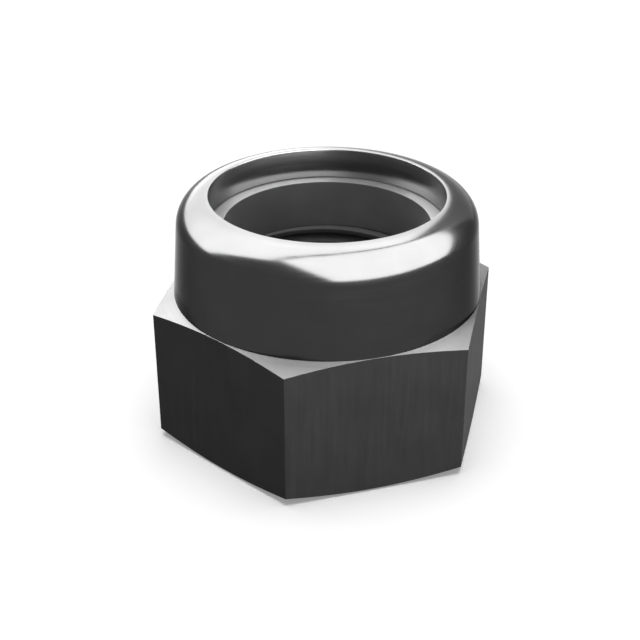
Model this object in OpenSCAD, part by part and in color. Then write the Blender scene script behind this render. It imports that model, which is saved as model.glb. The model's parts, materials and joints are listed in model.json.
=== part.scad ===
// Hexagon lock nut with a plastic locking ring crimped into a round collar.
// It stands on its bearing face, with the thread along Z. All sizes are in millimetres.

/* [Thread] */
// Nominal diameter of the thread, from which the rest of the nut's width follows
thread_d = 22; // [16:0.5:30]
// Pitch of the thread, of which the bore here is the crests
thread_pitch = 1.5; // [1:0.25:2.5]
// How far the countersink at the bearing face is wider than the thread, on the radius
countersink_step = 0.6; // [0.2:0.1:1]

/* [Hexagon] */
// Steel between the thread and each flat
flat_wall = 5; // [4.5:0.25:7]
// Height of the hexagon, from the bearing face to the foot of the collar
hex_h = 15.25; // [12:0.25:17]
// Slope of the turned chamfers on the hexagon's corners, in degrees
chamfer_angle = 15; // [10:1:30]
// How far the bearing face stands in from the flats
bearing_step = 0.8; // [0.4:0.1:1.5]

/* [Collar] */
// Height of the whole nut
nut_h = 25.7; // [24.5:0.1:28]
// How far the foot of the collar stands in from the flats
collar_step = 0.05; // [0.05:0.05:0.4]
// Draft of the collar's wall, in degrees
collar_draft = 4.3; // [1:0.1:6]
// Radius of the shoulder that the crimping roller leaves
shoulder_r = 3.1; // [2:0.1:3.4]
// Thickness of the collar's wall beside the top of the ring
collar_wall = 1.8; // [1.4:0.1:2.2]
// Depth of the crimped lip above the ring
lip_h = 3.25; // [2.5:0.25:4]
// How far the lip reaches in over the ring
lip_overhang = 1.6; // [1.2:0.1:2]

/* [Locking ring] */
// Height of the ring
ring_h = 5.2; // [4:0.1:6]
// Radius of the edge that the lip curls round
ring_edge_r = 1; // [0.5:0.1:1.2]
// How deep the bolt's crests press into the ring
ring_bite = 0.375; // [0.2:0.025:0.6]
// Gap that the crimp leaves round the ring, which is none on a new nut
ring_clearance = 0; // [0:0.01:0.05]

/* [Hidden] */
$fn = 96;

// Sixty-degree threads cut this share of the pitch into the radius, down to the crests of a nut
thread_depth_share = 5 / 16 * sqrt(3);
// Cutting tools run this far past the faces that they open
overrun = 1;
// The wall ends this far inside the shoulder's arc, so that the two meet in one clean edge
weld = 0.0001;

// The width across the flats is the spanner size
across_flats = thread_d + 2 * flat_wall;
flat_r = across_flats / 2;
corner_r = flat_r / cos(30);
bearing_r = flat_r - bearing_step;
foot_r = flat_r - collar_step;

crest_r = thread_d / 2 - thread_depth_share * thread_pitch;
countersink_r = thread_d / 2 + countersink_step;

ring_top = nut_h - lip_h;
ring_floor = ring_top - ring_h;
ring_r = collar_r(ring_top) - collar_wall;
opening_r = ring_r - lip_overhang;
ring_bore_r = thread_d / 2 - ring_bite;

// The shoulder's arc starts on the drafted wall and ends level with the top
shoulder_z = nut_h - shoulder_r;
wall_end_z = shoulder_z + shoulder_r * sin(collar_draft);
shoulder_x = collar_r(wall_end_z) - shoulder_r * cos(collar_draft);

// Radius of the collar's outer wall at a height
function collar_r(z) = foot_r - (z - hex_h) * tan(collar_draft);

// Height that a chamfer takes between two radii
function chamfer_rise(r_out, r_in) = (r_out - r_in) * tan(chamfer_angle);

// Hexagon bar with the round chamfers that turning gives both ends
module hexagon() {
    cut_r = corner_r + overrun;
    intersection() {
        cylinder(h = hex_h, r = corner_r, $fn = 6);
        rotate_extrude()
            polygon([
                [0, 0],
                [bearing_r, 0],
                [cut_r, chamfer_rise(cut_r, bearing_r)],
                [cut_r, hex_h - chamfer_rise(cut_r, foot_r)],
                [foot_r, hex_h],
                [0, hex_h]
            ]);
    }
}

// Collar as crimped: a drafted wall that rolls over into the flat rim
module collar() {
    rotate_extrude() {
        polygon([
            [0, hex_h - overrun],
            [foot_r - overrun, hex_h - overrun],
            [foot_r, hex_h],
            [collar_r(wall_end_z) - weld, wall_end_z],
            [shoulder_x, shoulder_z],
            [shoulder_x, nut_h],
            [0, nut_h]
        ]);
        translate([shoulder_x, shoulder_z])
            circle(r = shoulder_r);
    }
}

// Half section of the ring, or of its seat when it reaches in to the axis
module ring_section(inner_r, gap) {
    outer_r = ring_r + gap;
    top = ring_top + gap;
    translate([inner_r, ring_floor])
        square([outer_r - ring_edge_r - inner_r, top - ring_floor]);
    translate([inner_r, ring_floor])
        square([outer_r - inner_r, top - ring_edge_r - ring_floor]);
    translate([outer_r - ring_edge_r, top - ring_edge_r])
        circle(r = ring_edge_r);
}

// Everything that is cut out round the axis: countersink, thread crests, seat and opening
module passage() {
    rotate_extrude() {
        polygon([
            [0, -overrun],
            [countersink_r + overrun, -overrun],
            [crest_r, countersink_r - crest_r],
            [crest_r, ring_floor + overrun],
            [0, ring_floor + overrun]
        ]);
        ring_section(0, ring_clearance);
        translate([0, ring_top - overrun])
            square([opening_r, lip_h + 2 * overrun]);
    }
}

// Steel nut, forged, turned, tapped and crimped as one piece
module nut_body() {
    color([0.24, 0.24, 0.25])
        difference() {
            union() {
                hexagon();
                collar();
            }
            passage();
        }
}

// Moulded ring that the bolt's thread presses its own track into
module insert_ring() {
    color([0.45, 0.46, 0.47])
        rotate_extrude()
            ring_section(ring_bore_r, 0);
}

nut_body();
insert_ring();
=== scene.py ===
# %% [markdown]
# # A hexagon lock nut, turned, milled, tapped and crimped in Blender
#
# The nut is two things that were made apart and pressed together for good. The body is a piece
# of steel with a hexagon below and a round collar above. The ring is moulded plastic that sits
# in the collar, and the collar's edge was rolled inwards over it so that it can't get out. A
# bolt turns easily in the steel thread and then has to press its own track into the ring, and
# that grip is what locks it.
#
# Both pieces are made here the way the workshop makes them: a profile is spun into a blank,
# planes mill the flats, and a cutter shaped like a tap leaves the thread.

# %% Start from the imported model
import json
import math

import bmesh
import bpy
from mathutils import Matrix, Vector


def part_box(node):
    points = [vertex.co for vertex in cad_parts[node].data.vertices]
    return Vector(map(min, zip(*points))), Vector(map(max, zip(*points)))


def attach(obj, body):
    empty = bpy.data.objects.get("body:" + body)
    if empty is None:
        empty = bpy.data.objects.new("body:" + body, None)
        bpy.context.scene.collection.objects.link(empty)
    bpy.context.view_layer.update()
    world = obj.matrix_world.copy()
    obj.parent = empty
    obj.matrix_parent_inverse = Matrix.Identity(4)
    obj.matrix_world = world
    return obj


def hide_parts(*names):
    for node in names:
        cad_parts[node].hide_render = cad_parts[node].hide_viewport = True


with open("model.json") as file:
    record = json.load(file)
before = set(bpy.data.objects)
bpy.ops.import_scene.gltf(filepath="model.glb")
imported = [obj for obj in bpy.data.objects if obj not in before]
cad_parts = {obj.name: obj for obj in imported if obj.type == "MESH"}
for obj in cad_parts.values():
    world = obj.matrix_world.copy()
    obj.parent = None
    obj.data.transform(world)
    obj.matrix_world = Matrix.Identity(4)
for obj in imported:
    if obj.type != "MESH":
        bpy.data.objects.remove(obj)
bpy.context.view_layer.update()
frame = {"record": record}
MM = 0.001

# %% [markdown]
# ## Sizes
#
# Blender works in metres, and a nut is easier to think about in millimetres, so every size of
# the nut is written in millimetres and turned into metres at the moment a mesh is made. Only the
# floor and the lamps are set out in metres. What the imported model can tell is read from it: the
# boxes of its two solids, and the two bores in its record. The rest repeats the values that the
# solids were drawn from.

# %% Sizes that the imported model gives
_, body_high = (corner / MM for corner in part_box("nut_body"))
ring_low, ring_high = (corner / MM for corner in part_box("insert_ring"))
mounts = {mount["name"]: mount["dims"] for mount in frame["record"]["mounts"]}

CORNER_R, FLAT_R, NUT_H = body_high
RING_R, RING_FLOOR, RING_TOP = ring_high.x, ring_low.z, ring_high.z
CREST_R, RING_BORE_R = mounts["thread"]["r_mm"], mounts["ring_bore"]["r_mm"]
print(f"hexagon {2 * FLAT_R:.2f} mm across flats, nut {NUT_H:.2f} mm high, crests at {CREST_R:.3f} mm")

# %% Sizes that the solids were drawn from
THREAD_R = 11.0
PITCH = 1.5
COUNTERSINK_R = 11.6
BEARING_R = 15.2
HEX_H = 15.25
FOOT_R = 15.95
CHAMFER = math.radians(15)
DRAFT = math.radians(4.3)
SHOULDER_R = 3.1
LIP_OVERHANG = 1.6
RING_EDGE_R = 1.0
OPENING_R = RING_R - LIP_OVERHANG
print(f"thread {2 * THREAD_R:.0f} mm with {PITCH} mm pitch, opening {2 * OPENING_R:.2f} mm wide")

# %% [markdown]
# ## Camera
#
# The camera comes first, because everything after it is judged through it. Its place was solved
# from the eight corners of the hexagon that can be seen: how fast the far edges shrink gives
# the distance, and how wide the nut then looks gives the lens. It aims beside the axis, because
# the nut doesn't stand quite in the middle of the picture. Its distances are in millimetres too.

# %% Camera at the photograph's viewing angle
CAMERA_TURN = math.radians(-107.19)
CAMERA_RISE = math.radians(28.564)
CAMERA_FAR = 138.75
AIM_RIGHT, AIM_UP, AIM_Z = -0.738, 8.908, 0.878
PICTURE_PIXELS, FOCAL_PIXELS = 640, 1258.45
CLIP_NEAR, CLIP_FAR = 5, 20000

back = Vector((
    math.cos(CAMERA_RISE) * math.cos(CAMERA_TURN),
    math.cos(CAMERA_RISE) * math.sin(CAMERA_TURN),
    math.sin(CAMERA_RISE),
))
right = Vector((0, 0, 1)).cross(back).normalized()
up = back.cross(right)
camera_data = bpy.data.cameras.new("camera")
camera = bpy.data.objects.new("camera", camera_data)
bpy.context.collection.objects.link(camera)
aim = Vector((0, 0, AIM_Z)) + AIM_RIGHT * right + AIM_UP * up
camera.location = (aim + CAMERA_FAR * back) * MM
camera.rotation_mode = "QUATERNION"
camera.rotation_quaternion = Matrix((right, up, back)).transposed().to_quaternion()
camera_data.lens = FOCAL_PIXELS / PICTURE_PIXELS * camera_data.sensor_width
camera_data.clip_start, camera_data.clip_end = CLIP_NEAR * MM, CLIP_FAR * MM
bpy.context.scene.camera = camera
bpy.context.scene.view_settings.view_transform = "Standard"
print(f"lens {camera_data.lens:.2f} mm, camera at", [round(c / MM, 1) for c in camera.location])

# %% [markdown]
# ## Helpers for materials
#
# Colours are picked as sRGB hex values, which is how the eye and every colour chart count them,
# but a shader adds up light, so one function turns them into linear values. A second one adds a
# node, sets it and links it in a single call, so that each material below reads from its
# coordinates to its surface.
#
# Noise gives nearly all its values between 0.3 and 0.7, so that is the range which each material
# stretches over its two roughnesses.

# %% Colour and node helpers
def linear(code):
    """Turns an sRGB hex value into the linear colour that a shader adds up."""
    parts = [int(code[i:i + 2], 16) / 255 for i in (1, 3, 5)]
    return (*(c / 12.92 if c <= 0.04045 else ((c + 0.055) / 1.055) ** 2.4 for c in parts), 1)


def add(tree, kind, inputs=(), **settings):
    """Adds a node. A value in inputs is set on its socket, and another node's output is linked to it."""
    made = tree.nodes.new(kind)
    for name, value in settings.items():
        setattr(made, name, value)
    for socket, value in dict(inputs).items():
        if isinstance(value, bpy.types.NodeSocket):
            tree.links.new(value, made.inputs[socket])
        else:
            made.inputs[socket].default_value = value
    return made


NOISE = {"From Min": 0.3, "From Max": 0.7}


def new_material(name):
    """An empty node material and its tree."""
    material = bpy.data.materials.new(name)
    material.use_nodes = True
    material.node_tree.nodes.clear()
    return material, material.node_tree


# %% [markdown]
# ## Marks that run the way the tool ran
#
# Every metal surface keeps the direction of the tool that made it. A lathe and a crimping
# roller leave rings round the axis, and a drawing die leaves straight lines along it. Noise has
# no direction of its own, so the trick is to give it coordinates that change fast across the
# marks and slowly along them.
#
# For rings, the fast coordinate is height less radius. It grows steadily from the bearing face
# over both chamfers and the collar to the rim, so one pattern fits the whole profile with no
# break. The slow one is the direction from the axis, which comes back to where it started and
# so leaves no seam, as an angle would.

# %% Coordinates along and across the marks
def ring_marks(tree, spacing, reach):
    """Coordinates for rings round the axis, both sizes in millimetres."""
    place = add(tree, "ShaderNodeTexCoord")
    split = add(tree, "ShaderNodeSeparateXYZ", {0: place.outputs["Object"]})
    across = add(tree, "ShaderNodeCombineXYZ", {0: split.outputs[0], 1: split.outputs[1]})
    far = add(tree, "ShaderNodeVectorMath", {0: across.outputs[0]}, operation="LENGTH")
    profile_way = add(
        tree, "ShaderNodeMath", {0: split.outputs[2], 1: far.outputs["Value"]}, operation="SUBTRACT",
    )
    fast = add(
        tree, "ShaderNodeMath", {0: profile_way.outputs[0], 1: 1 / (spacing * MM)}, operation="MULTIPLY",
    )
    heading = add(tree, "ShaderNodeVectorMath", {0: across.outputs[0]}, operation="NORMALIZE")
    slow = add(
        tree, "ShaderNodeVectorMath", {0: heading.outputs[0], "Scale": FLAT_R / reach}, operation="SCALE",
    )
    lift = add(tree, "ShaderNodeCombineXYZ", {2: fast.outputs[0]})
    return add(tree, "ShaderNodeVectorMath", {0: slow.outputs[0], 1: lift.outputs[0]}).outputs[0]


def line_marks(tree, spacing, reach):
    """Coordinates for straight lines along the axis, both sizes in millimetres."""
    place = add(tree, "ShaderNodeTexCoord")
    scale = (1 / (spacing * MM), 1 / (spacing * MM), 1 / (reach * MM))
    stretched = add(tree, "ShaderNodeMapping", {"Vector": place.outputs["Object"], "Scale": scale})
    return stretched.outputs[0]


# %% [markdown]
# ## Black oxide on steel
#
# Black oxide isn't a paint. A hot salt bath turns the outer micrometre of the steel itself into
# magnetite, so the shape, the edges and the tool marks all stay, and only the brightness goes.
# To the eye it is a metal that gives back a thirtieth of the light, sharp where the steel was
# smooth and dull where it was rough. That is why one colour looks white in the highlight of the
# polished shoulder and nearly black on the wall below it.
#
# So nearly every finish is a metallic shader with a very dark base, and what tells them apart is
# the roughness and the marks. Slow cloudy patches, 3.5 mm across, stand for the uneven bath. The
# specular tint sets how strongly the edge-on surface brightens: an oxide brightens less than bare
# steel, and half is about the least that doesn't turn the surface black just before the edge.

# %% One function for all the blackened finishes
PATCH = 3.5


def blackened_steel(name, marks, shades, gloss, depth, tint, **more):
    """A finish of the steel.

    marks makes the coordinates of the tool marks, shades are the patches' two colours, gloss is
    the lowest and highest roughness, depth is that of the marks in millimetres, and more sets
    sockets of the shader."""
    material, tree = new_material(name)
    place = add(tree, "ShaderNodeTexCoord")
    cloud = add(tree, "ShaderNodeTexNoise", {
        "Vector": place.outputs["Object"], "Scale": 1 / (PATCH * MM), "Detail": 3.0,
    })
    colour = add(tree, "ShaderNodeMix", {
        0: cloud.outputs[0], 6: linear(shades[0]), 7: linear(shades[1]),
    }, data_type="RGBA")
    tool = add(tree, "ShaderNodeTexNoise", {"Vector": marks(tree), "Scale": 1.0, "Detail": 2.0})
    roughness = add(tree, "ShaderNodeMapRange", {
        "Value": tool.outputs[0], **NOISE, "To Min": gloss[0], "To Max": gloss[1],
    })
    bump = add(tree, "ShaderNodeBump", {"Height": tool.outputs[0], "Strength": 1.0, "Distance": depth * MM})
    shader = add(tree, "ShaderNodeBsdfPrincipled", {
        "Base Color": colour.outputs[2], "Metallic": 1.0, "Roughness": roughness.outputs[0],
        "Specular Tint": (tint, tint, tint, 1), "Normal": bump.outputs[0], **more,
    })
    add(tree, "ShaderNodeOutputMaterial", {"Surface": shader.outputs[0]})
    print("material", name, "with", len(tree.nodes), "nodes")
    return material, tree, shader


# %% [markdown]
# ## Collar: turned, then burnished by the crimping roller
#
# The roller that folds the lip over runs round the collar under load and smears the turning
# marks flat, so the collar is the glossiest face of the nut. What is left are faint rings. Real
# ones lie about 0.1 mm apart, which is less than a pixel, so they are drawn 0.35 mm apart.

# %% Blackened and burnished steel
burnished_steel, _, _ = blackened_steel(
    "blackened_burnished_steel", marks=lambda tree: ring_marks(tree, spacing=0.35, reach=9.0),
    shades=("#323232", "#383838"), gloss=(0.16, 0.2), depth=0.002, tint=0.48,
)

# %% [markdown]
# ## Hexagon: cold drawn bar
#
# Hexagon bar is pulled through a die, which leaves its flats even, dull and very slightly lined
# along the bar. They take the oxide deeper than turned faces do, so they are the darkest part of
# the nut and give almost no reflection. The lines of real bar are finer than 0.1 mm, and here
# they are 0.3 mm apart.

# %% Blackened and drawn steel
drawn_steel, _, _ = blackened_steel(
    "blackened_drawn_steel", marks=lambda tree: line_marks(tree, spacing=0.3, reach=6.0),
    shades=("#1f1f1f", "#262626"), gloss=(0.45, 0.5), depth=0.005, tint=0.42,
)

# %% [markdown]
# ## Chamfers and bearing face: turned
#
# A facing tool cuts a fine spiral groove, and light glances off its ridges across the groove
# but not along it. The eye sees that as a highlight drawn out towards the axis, like the bright
# wedge on a pan's bottom. The shader's anisotropy does the same: a tangent that runs round the
# axis tells it which way the grooves go, and a quarter turn draws the highlight across them.
#
# The feed would be about 0.15 mm a turn, and the rings are drawn at 0.3 mm so that they show.

# %% Blackened and turned steel
turned_steel, tree, shader = blackened_steel(
    "blackened_turned_steel", marks=lambda tree: ring_marks(tree, spacing=0.3, reach=25.0),
    shades=("#363636", "#404040"), gloss=(0.37, 0.43), depth=0.0075, tint=0.48,
    **{"Anisotropic": 0.75, "Anisotropic Rotation": 0.25},
)
tangent = add(tree, "ShaderNodeTangent", direction_type="RADIAL", axis="Z")
tree.links.new(tangent.outputs[0], shader.inputs["Tangent"])

# %% [markdown]
# ## Thread and countersink: tapped
#
# A tap tears as much as it cuts, and on torn steel the oxide grows thick and sooty. No metal
# shines through it, so this is the one finish here whose shader isn't metallic: it scatters a
# little of the light that gets down to it, and the oil that it holds leaves hardly any gloss. To
# the eye the thread is a dull near-black, a shade darker than the ring's bore above it.

# %% Blackened and tapped steel
tapped_steel, _, _ = blackened_steel(
    "blackened_tapped_steel", marks=lambda tree: ring_marks(tree, spacing=0.2, reach=2.0),
    shades=("#2a2a2a", "#323232"), gloss=(0.6, 0.7), depth=0.02, tint=1.0,
    **{"Metallic": 0.0, "Specular IOR Level": 0.04},
)

# %% [markdown]
# ## Lip: bored to size after blackening
#
# The photograph shows that the inside of the lip mirrors the ring below it, which the outside of
# the collar is too dark to do. A last cut to size explains that: it takes the thick oxide off
# and leaves a thin film on smooth steel, a dark grey and not a black.

# %% Bored steel
bored_steel, _, _ = blackened_steel(
    "thinly_blackened_bored_steel", marks=lambda tree: ring_marks(tree, spacing=0.25, reach=12.0),
    shades=("#6c6c6c", "#7a7a7a"), gloss=(0.2, 0.24), depth=0.002, tint=0.6,
)

# %% [markdown]
# ## Ring: moulded nylon
#
# Nylon for such rings is polyamide 6 or 66, moulded in a steel tool whose faces were spark
# eroded. It takes that fine grain from the tool and comes out satin, with cloudy patches of some
# 4 mm where the melt met itself again. It is no metal, so it has a grey body colour and only a
# weak reflection, which its slightly waxy skin lowers further. The grain is about 0.05 mm in life
# and 0.15 mm here.

# %% Moulded nylon
GRAIN, GRAIN_DEPTH, MELT = 0.15, 0.0055, 4
nylon, tree = new_material("grey_moulded_nylon")
place = add(tree, "ShaderNodeTexCoord")
melt = add(tree, "ShaderNodeTexNoise", {
    "Vector": place.outputs["Object"], "Scale": 1 / (MELT * MM), "Detail": 2.0,
})
grain = add(tree, "ShaderNodeTexNoise", {
    "Vector": place.outputs["Object"], "Scale": 1 / (GRAIN * MM), "Detail": 2.0,
})
colour = add(tree, "ShaderNodeMix", {
    0: melt.outputs[0], 6: linear("#585858"), 7: linear("#686868"),
}, data_type="RGBA")
roughness = add(tree, "ShaderNodeMapRange", {
    "Value": grain.outputs[0], **NOISE, "To Min": 0.3, "To Max": 0.36,
})
bump = add(tree, "ShaderNodeBump", {
    "Height": grain.outputs[0], "Strength": 1.0, "Distance": GRAIN_DEPTH * MM,
})
shader = add(tree, "ShaderNodeBsdfPrincipled", {
    "Base Color": colour.outputs[2], "Metallic": 0.0, "Roughness": roughness.outputs[0], "IOR": 1.53,
    "Specular IOR Level": 0.25, "Normal": bump.outputs[0],
})
add(tree, "ShaderNodeOutputMaterial", {"Surface": shader.outputs[0]})
print("material", nylon.name, "with", len(tree.nodes), "nodes")

# %% [markdown]
# ## Helpers for meshes
#
# A lathe part is a half section spun round its axis, so the first helper draws a section as a
# closed chain of edges in the plane of X and Z, and another spins it. Corners are rounded while
# the section is still flat, which costs a few vertices instead of a bevel on a whole ring.
#
# A vertex bevel measures along the edges, from the corner to where the round begins. That run
# is the radius over the tangent of half the corner's angle.
#
# A turn takes 192 steps, so that the widest circle is within 0.003 mm of round. Vertices less
# than a micrometre apart are one.

# %% Section, rounded corners and lathe
TURN_STEPS, ROUND_STEPS = 192, 4
MERGE, ON_PLANE = 1e-3 * MM, 1e-7 * MM


def section(bm, corners, closed=True):
    """Draws a chain of edges through (radius, height) in millimetres."""
    verts = [bm.verts.new((r * MM, 0, z * MM)) for r, z in corners]
    for a, b in zip(verts, verts[1:] + verts[:1] if closed else verts[1:]):
        bm.edges.new((a, b))
    return verts


def round_corner(bm, vert, radius):
    """Rounds one corner of a section to a radius in millimetres."""
    a, b = (edge.other_vert(vert).co - vert.co for edge in vert.link_edges)
    run = radius / math.tan(a.angle(b) / 2)
    bmesh.ops.bevel(
        bm, geom=[vert], offset=run * MM, offset_type="OFFSET", affect="VERTICES",
        segments=ROUND_STEPS, profile=0.5, material=-1,
    )


def lathe(bm, rise=0.0):
    """Spins the section one turn round the axis, rising by so many millimetres on the way."""
    bmesh.ops.spin(
        bm, geom=bm.verts[:] + bm.edges[:], cent=(0, 0, 0), axis=(0, 0, 1),
        dvec=(0, 0, rise * MM / TURN_STEPS), angle=2 * math.pi, steps=TURN_STEPS,
        use_merge=(rise == 0),
    )
    tidy(bm)


def tidy(bm):
    """Merges doubles and turns all faces outwards."""
    bmesh.ops.remove_doubles(bm, verts=bm.verts[:], dist=MERGE)
    bmesh.ops.recalc_face_normals(bm, faces=bm.faces[:])


def cut_off(bm, through, outwards):
    """Cuts off what lies past a plane, closes the cut with one face, and returns that face."""
    cut = bmesh.ops.bisect_plane(
        bm, geom=bm.verts[:] + bm.edges[:] + bm.faces[:], dist=ON_PLANE,
        plane_co=through * MM, plane_no=outwards, clear_outer=True,
    )
    rim = [part for part in cut["geom_cut"] if isinstance(part, bmesh.types.BMEdge)]
    return bmesh.ops.contextual_create(bm, geom=rim)["faces"]


def report(title, bm):
    """Prints a mesh's counts. If it is sound, it has no open edges and its volume is positive."""
    gaps = sum(not edge.is_manifold for edge in bm.edges)
    volume = bm.calc_volume(signed=True) / MM ** 3
    print(f"{title}: {len(bm.verts)} vertices, {len(bm.faces)} faces, {gaps} open edges, {volume:.1f} mm3")


def new_piece(bm, name, *materials):
    """An object at the origin that takes over a mesh and its materials."""
    mesh = bpy.data.meshes.new(name)
    bm.to_mesh(mesh)
    bm.free()
    for material in materials:
        mesh.materials.append(material)
    piece = bpy.data.objects.new(name, mesh)
    bpy.context.collection.objects.link(piece)
    return piece


# %% [markdown]
# ## The body, step 1: turn the blank
#
# The section runs from the countersink along the bearing face, up the outside, over the rim,
# down inside the lip, round the seat that holds the ring, and down the bore. The hexagon isn't
# there yet: at its height the blank is a disc wider than its corners, with the two chamfers
# already turned on it, because on a real nut the flats are what is left between the chamfers.
# It is turned a millimetre wider than the corners, so that milling leaves none of its rim.
#
# The shoulder is the shape that the crimping roller pressed: a true arc that leaves the drafted
# wall without a kink and arrives level at the rim. It is spun from the wall's last vertex round
# the arc's centre, while the section is still flat. The small rounds are what a new tool leaves,
# and the large one in the seat fits the edge of the ring.

# %% Section of the blank
def collar_r(z):
    """Radius of the collar's drafted wall at a height."""
    return FOOT_R - (z - HEX_H) * math.tan(DRAFT)


OVERRUN = 1.0
blank_r = CORNER_R + OVERRUN
shoulder_z = NUT_H - SHOULDER_R
wall_end_z = shoulder_z + SHOULDER_R * math.sin(DRAFT)
shoulder_x = collar_r(wall_end_z) - SHOULDER_R * math.cos(DRAFT)
corners = {
    "countersink_edge": (COUNTERSINK_R, 0),
    "bearing_edge": (BEARING_R, 0),
    "blank_bottom": (blank_r, (blank_r - BEARING_R) * math.tan(CHAMFER)),
    "blank_top": (blank_r, HEX_H - (blank_r - FOOT_R) * math.tan(CHAMFER)),
    "collar_foot": (FOOT_R, HEX_H),
    "wall_end": (collar_r(wall_end_z), wall_end_z),
    "rim": (shoulder_x, NUT_H),
    "lip_edge": (OPENING_R, NUT_H),
    "lip_foot": (OPENING_R, RING_TOP),
    "seat_edge": (RING_R, RING_TOP),
    "seat_foot": (RING_R, RING_FLOOR),
    "ledge": (CREST_R, RING_FLOOR),
    "countersink_end": (CREST_R, COUNTERSINK_R - CREST_R),
}
bm = bmesh.new()
verts = dict(zip(corners, section(bm, corners.values())))
print("section with", len(verts), "corners")

# %% Shoulder, small rounds and the spin
SHOULDER_STEPS = 24
bm.edges.remove(bm.edges.get((verts["wall_end"], verts["rim"])))
bmesh.ops.spin(
    bm, geom=[verts["wall_end"]], cent=(shoulder_x * MM, 0, shoulder_z * MM), axis=(0, -1, 0),
    angle=math.pi / 2 - DRAFT, steps=SHOULDER_STEPS,
)
bmesh.ops.remove_doubles(bm, verts=bm.verts[:], dist=MERGE)
rounds = {
    "countersink_edge": 0.08,
    "bearing_edge": 0.1,
    "lip_edge": 0.08,
    "lip_foot": 0.12,
    "seat_edge": RING_EDGE_R,
}
for name, radius in rounds.items():
    round_corner(bm, verts[name], radius)
lathe(bm)
report("blank", bm)

# %% [markdown]
# ## The body, step 2: give each face its finish
#
# One mesh carries five finishes, and where a face lies says which tool made it. The faces are
# sorted now, while they are still whole rings, and the cuts that follow keep what they are given.
# The lip's wall takes along the first facet of the small round at each of its ends, which stands
# out from the wall by less than NEAR.

# %% Finishes by place
finishes = [burnished_steel, turned_steel, tapped_steel, bored_steel, drawn_steel]
BURNISHED, TURNED, TAPPED, BORED, DRAWN = range(len(finishes))
NEAR = 0.01


def finish_at(place):
    """The finish of a face of the blank whose middle lies at a place in millimetres."""
    far = math.hypot(place.x, place.y)
    if far < OPENING_R + NEAR:
        return BORED if place.z > RING_TOP else TAPPED
    return TURNED if place.z < HEX_H and far > COUNTERSINK_R else BURNISHED


for face in bm.faces:
    face.material_index = finish_at(face.calc_center_median() / MM)
for index, finish in enumerate(finishes[:DRAWN]):
    print(sum(face.material_index == index for face in bm.faces), "faces are", finish.name)

# %% [markdown]
# ## The body, step 3: mill the flats
#
# A plane cuts each flat, six times round. It meets the turned chamfers in the arcs that every
# nut has on its corners, and nobody has to draw them: they come out of the cut, as they do in
# the workshop. The collar's foot stands 0.05 mm inside the flats, so the planes just miss it.

# %% Six flats
for k in range(6):
    turn = math.radians(30 + 60 * k)
    outwards = Vector((math.cos(turn), math.sin(turn), 0))
    for face in cut_off(bm, outwards * FLAT_R, outwards):
        face.material_index = DRAWN
bmesh.ops.recalc_face_normals(bm, faces=bm.faces[:])
report("milled", bm)
body = new_piece(bm, "steel_body", *finishes)

# %% [markdown]
# ## The body, step 4: tap the thread
#
# A metric thread is a row of triangles with 60 degree tips. The nut keeps their inner ends cut
# off flat, which is the plain bore that the blank already has, and the tap only has to reach out
# to the full radius, with a tip an eighth of the pitch wide.
#
# So the tap is a body whose outside is that groove's shape. One turn of it is spun while it
# rises by one pitch, which makes a right-hand helix, and copies of that turn are stacked a pitch
# apart and merged. Spinning all the turns at once gives the same mesh and takes far longer. Two
# planes cut its ends level, a millimetre past the faces that it opens. An exact Boolean then
# takes it out of the blank, and hands the cut faces the tap's own finish.

# %% Shape of the tap
sharp_depth = PITCH / 2 * math.sqrt(3)
tip_flat = PITCH / 8
root_r = THREAD_R - sharp_depth + tip_flat / 2 * math.sqrt(3)
start = -2 * PITCH
bm = bmesh.new()
section(bm, [
    (root_r, start),
    (THREAD_R, start + (PITCH - tip_flat) / 2),
    (THREAD_R, start + (PITCH + tip_flat) / 2),
    (root_r, start + PITCH),
], closed=False)
lathe(bm, rise=PITCH)

one_turn = bm.verts[:] + bm.edges[:] + bm.faces[:]
turns = math.ceil((RING_FLOOR - start) / PITCH) + 2
for k in range(1, turns):
    copied = bmesh.ops.duplicate(bm, geom=one_turn)["geom"]
    verts = [part for part in copied if isinstance(part, bmesh.types.BMVert)]
    bmesh.ops.translate(bm, verts=verts, vec=(0, 0, k * PITCH * MM))
tidy(bm)
for height, side in ((-OVERRUN, -1), (RING_FLOOR + OVERRUN, 1)):
    cut_off(bm, Vector((0, 0, height)), Vector((0, 0, side)))
bmesh.ops.recalc_face_normals(bm, faces=bm.faces[:])
report("tap", bm)
tap = new_piece(bm, "tap", tapped_steel)

# %% Cut with the tap
cutting = body.modifiers.new("tap", "BOOLEAN")
cutting.operation, cutting.object, cutting.solver = "DIFFERENCE", tap, "EXACT"
cutting.material_mode = "TRANSFER"
tapped = bpy.data.meshes.new_from_object(body.evaluated_get(bpy.context.evaluated_depsgraph_get()))
body.modifiers.clear()
body.data = tapped
bpy.data.objects.remove(tap)
print("the tap leaves", len(tapped.polygons), "faces")

# %% [markdown]
# ## Shading
#
# A lathe part is smooth round its axis and sharp at its corners. All faces are shaded smooth,
# and an edge is marked sharp where its two faces turn by more than 28 degrees. That lies between
# the widest step on a small round, 22.5 degrees, and the least corner that has to stay sharp, the
# 45 degrees between the countersink and the bore. The bearing face turns into its chamfer by only
# 15 degrees, and there the small round alone carries the edge.

# %% Smooth faces and sharp edges
SHARP = math.radians(28)
BOOLEAN_MERGE = MERGE / 10


def shade(bm):
    """Smooth faces that meet in sharp edges."""
    for face in bm.faces:
        face.smooth = True
    for edge in bm.edges:
        edge.smooth = edge.calc_face_angle(0) < SHARP


bm = bmesh.new()
bm.from_mesh(tapped)
bmesh.ops.remove_doubles(bm, verts=bm.verts[:], dist=BOOLEAN_MERGE)
shade(bm)
report("tapped body", bm)
bm.to_mesh(tapped)
bm.free()

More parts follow.
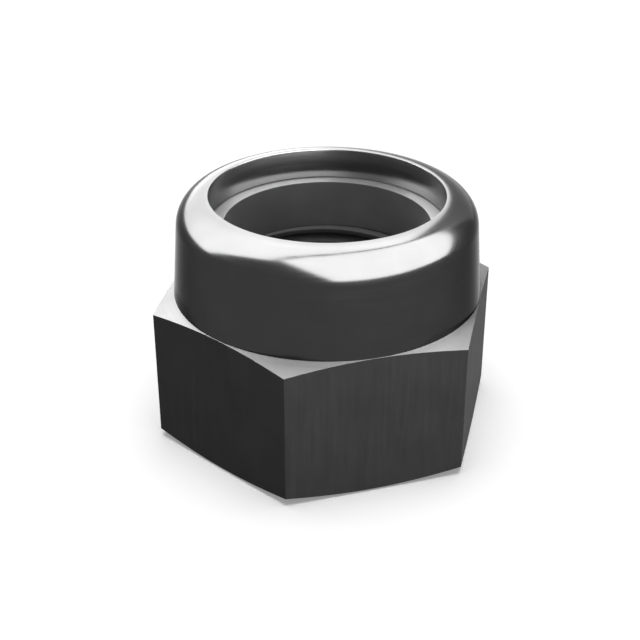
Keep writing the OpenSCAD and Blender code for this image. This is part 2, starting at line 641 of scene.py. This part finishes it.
# %% [markdown]
# ## The locking ring
#
# The ring is moulded, so it is one section spun once round. Its outer top edge is round and fits
# the inside of the lip, and its bore is narrower than the thread below, which is the whole point
# of it. The upper edge of the bore is where the mould's halves meet, and it stays sharp.

# %% Mould the ring
BORE_FOOT_ROUND = 0.12
bm = bmesh.new()
bore_foot, _, top_edge, _ = section(bm, [
    (RING_BORE_R, RING_FLOOR), (RING_R, RING_FLOOR), (RING_R, RING_TOP), (RING_BORE_R, RING_TOP),
])
round_corner(bm, bore_foot, BORE_FOOT_ROUND)
round_corner(bm, top_edge, RING_EDGE_R)
lathe(bm)
shade(bm)
report("ring", bm)
ring = new_piece(bm, "nylon_ring", nylon)

# %% [markdown]
# ## Hand the pieces to the frame
#
# Each piece stands for one solid of the imported model and takes that solid's place in the picture.
# Nothing on a nut moves, so both ride on the one body that there is.

# %% Ride and replace
for piece, node, slot in ((body, "nut_body", "dark_steel"), (ring, "insert_ring", "ring_plastic")):
    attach(piece, "root")
    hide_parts(node)
    print(f"{piece.name} stands for {node} in slot {slot}")

# %% [markdown]
# ## Floor and world
#
# The background is a pale board under an even white room. What the light on the board lacks of
# white is a small glow that only the camera and the reflections see, so that it adds no light to
# the nut. Where the nut takes the light away, its shadow stays. The room shows white in the same
# way, and lights the nut at a quarter of that.

# %% Rays that see the background
def background_rays(tree):
    """One for camera, glossy and transmission rays, and nothing for the rays that carry light."""
    path = add(tree, "ShaderNodeLightPath")
    seen = add(tree, "ShaderNodeMath", {
        0: path.outputs["Is Camera Ray"], 1: path.outputs["Is Glossy Ray"],
    }, operation="MAXIMUM")
    either = add(tree, "ShaderNodeMath", {
        0: seen.outputs[0], 1: path.outputs["Is Transmission Ray"],
    }, operation="MAXIMUM")
    return either.outputs[0]


# %% Floor
FLOOR_GLOW = 0.24
BOARD = 0.8
FLOOR_REACH = 3.0
material, tree = new_material("pale_matt_board")
glow_level = add(
    tree, "ShaderNodeMath", {0: background_rays(tree), 1: FLOOR_GLOW}, operation="MULTIPLY",
)
board = add(tree, "ShaderNodeBsdfDiffuse", {"Color": (BOARD, BOARD, BOARD, 1)})
glow = add(tree, "ShaderNodeEmission", {"Color": (1, 1, 1, 1), "Strength": glow_level.outputs[0]})
both = add(tree, "ShaderNodeAddShader", {0: board.outputs[0], 1: glow.outputs[0]})
add(tree, "ShaderNodeOutputMaterial", {"Surface": both.outputs[0]})
bm = bmesh.new()
bmesh.ops.create_grid(bm, x_segments=1, y_segments=1, size=FLOOR_REACH)
floor = new_piece(bm, "floor", material)
print(f"floor {2 * FLOOR_REACH:.0f} m wide, glow {FLOOR_GLOW}")

# %% World
ROOM_LIGHT = 0.25
world = bpy.data.worlds.new("studio")
bpy.context.scene.world = world
world.use_nodes = True
tree = world.node_tree
tree.nodes.clear()
level = add(tree, "ShaderNodeMapRange", {
    "Value": background_rays(tree), "To Min": ROOM_LIGHT, "To Max": 1.0,
})
sky = add(tree, "ShaderNodeBackground", {"Color": (1, 1, 1, 1), "Strength": level.outputs[0]})
add(tree, "ShaderNodeOutputWorld", {"Surface": sky.outputs[0]})
print("room shows at 1 and lights at", ROOM_LIGHT)

# %% [markdown]
# ## Lamps
#
# Dark polished metal shows lamps, not light: what the eye reads as its shape are the outlines of
# the softboxes in its shoulder. Two big ones give the photograph's two highlights. One stands
# behind the nut on the left and one in front of it on the right, and the thin grey line across
# the front of the shoulder is the gap between them. A weak one on the right keeps that side of
# the shoulder from going flat. All three are seen by reflections alone.
#
# The light that falls on the nylon and on the floor comes from one wide sun lamp straight
# overhead, set so that a colour renders about as it is written. A sun lights the whole floor
# evenly, so the floor stays white as far as any camera sees it. It makes no highlight of its
# own. From there it reaches the top of the ring and hardly its bore, and the shadow stays small.

# %% Lamp helper
LAMP_FAR = 0.3


def panel(name, turn, rise, across, along, radiance):
    """A rectangular softbox that faces the nut from a direction in degrees.

    across and along are how far it reaches to each side, counted in lamp distances."""
    turn, rise = math.radians(turn), math.radians(rise)
    out = Vector((math.cos(rise) * math.cos(turn), math.cos(rise) * math.sin(turn), math.sin(rise)))
    side = Vector((-math.sin(turn), math.cos(turn), 0))
    high = out.cross(side)
    data = bpy.data.lights.new(name, "AREA")
    data.shape = "RECTANGLE"
    data.size = LAMP_FAR * (across[1] - across[0])
    data.size_y = LAMP_FAR * (along[1] - along[0])
    data.energy = radiance * math.pi * data.size * data.size_y
    lamp = bpy.data.objects.new(name, data)
    bpy.context.collection.objects.link(lamp)
    middle = LAMP_FAR * (out + side * sum(across) / 2 + high * sum(along) / 2)
    lamp.matrix_world = Matrix.Translation(middle) @ Matrix((side, high, out)).transposed().to_4x4()
    lamp.visible_camera = False
    lamp.visible_diffuse = False
    print(f"{name}: {data.size:.2f} by {data.size_y:.2f} m, {data.energy:.1f} W")


# %% Softboxes
FRONT = math.degrees(CAMERA_TURN)
BRIGHT, WEAK = 24.5, 1.8
panel("softbox_back", FRONT + 223, 40, across=(-1.0, 1.1), along=(-0.6, 1.0), radiance=BRIGHT)
panel("softbox_front", FRONT + 43, 42, across=(-1.0, 1.6), along=(-0.8, 1.15), radiance=BRIGHT)
panel("softbox_side", FRONT + 165, 35, across=(-0.6, 0.4), along=(-0.85, 0.6), radiance=WEAK)

# %% Sun lamp overhead
SUN_WIDTH, SUN_STRENGTH = math.radians(45), 2.45
key_data = bpy.data.lights.new("key", "SUN")
key_data.angle, key_data.energy = SUN_WIDTH, SUN_STRENGTH
key = bpy.data.objects.new("key", key_data)
bpy.context.collection.objects.link(key)
key.visible_glossy = False
print(f"sun {math.degrees(SUN_WIDTH):.0f} degrees wide, strength {SUN_STRENGTH}")
